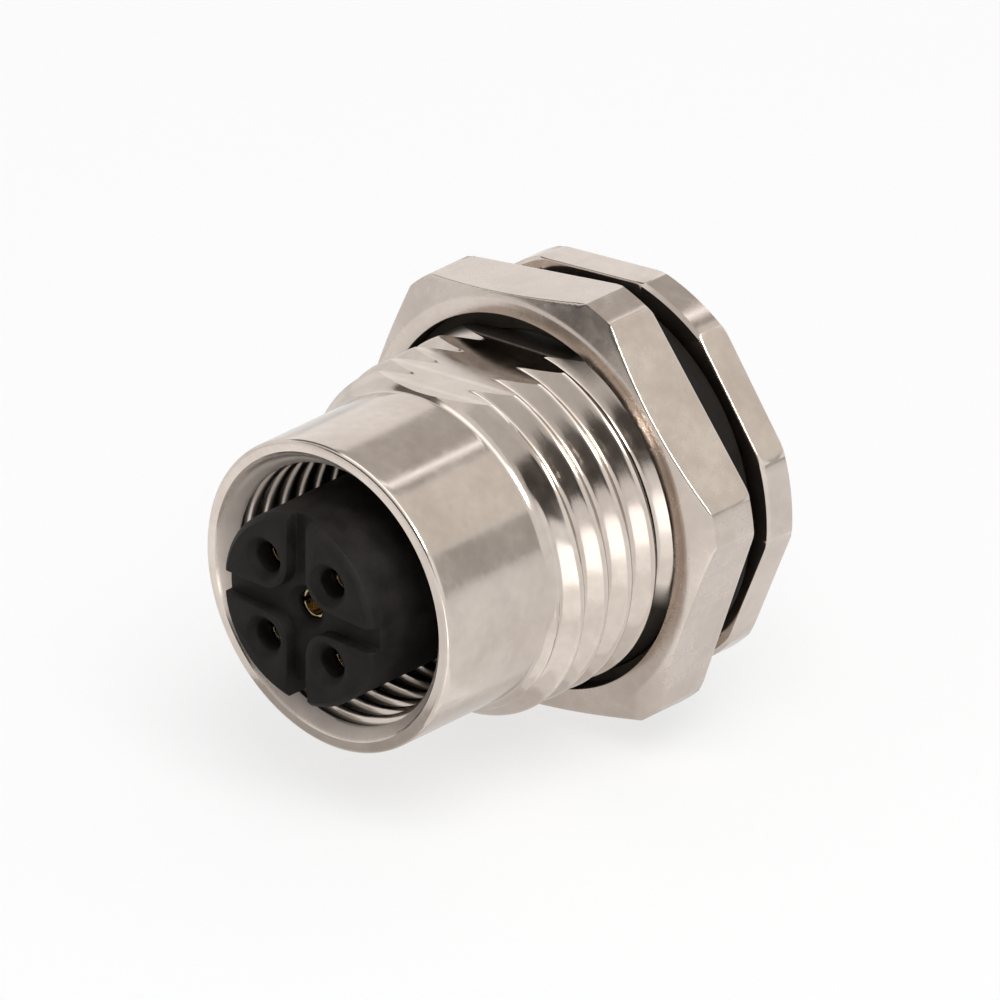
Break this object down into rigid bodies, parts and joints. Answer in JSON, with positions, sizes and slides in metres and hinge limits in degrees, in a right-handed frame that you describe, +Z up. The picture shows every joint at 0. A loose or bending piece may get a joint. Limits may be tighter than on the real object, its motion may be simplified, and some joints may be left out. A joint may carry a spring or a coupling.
{
  "type": "circular connector panel socket",
  "caption": "Round metal panel socket: smooth sleeve with a coupling thread in its mouth, black insert with female contacts, outside panel thread, hexagon lock nut, sealing ring and flange.",
  "frame": {"origin": "on the axis, in the plane of the flange's front face, where the panel seats", "axes": "-Y along the axis towards the mouth and the mating plug, +Z up with the insert's cross groove upright"},
  "size_m": [0.0198, 0.0234, 0.0192],
  "materials": {
    "nickel_shell": "turned brass, satin nickel plating",
    "nickel_nut": "brass, dull nickel plating, bright edges",
    "seal_rubber": "matt black rubber",
    "insert_plastic": "black moulded plastic",
    "spring_steel": "plain spring steel",
    "contact_gold": "turned brass, thin gold plating"
  },
  "bodies": {
    "socket": {"shell": "nickel_shell", "panel_seal": "seal_rubber", "contact_insert": "insert_plastic", "insert_seal": "seal_rubber", "rear_insulator": "insert_plastic", "retaining_ring": "spring_steel", "contact_1": "contact_gold", "contact_2": "contact_gold", "contact_3": "contact_gold", "contact_4": "contact_gold", "contact_5": "contact_gold"},
    "nut": {"lock_nut": "nickel_nut"}
  },
  "joints": [
    {"name": "nut_travel", "type": "slide", "parent": "socket", "child": "nut", "axis": [0, -1, 0], "range_m": [0, 0.00705]}
  ]
}
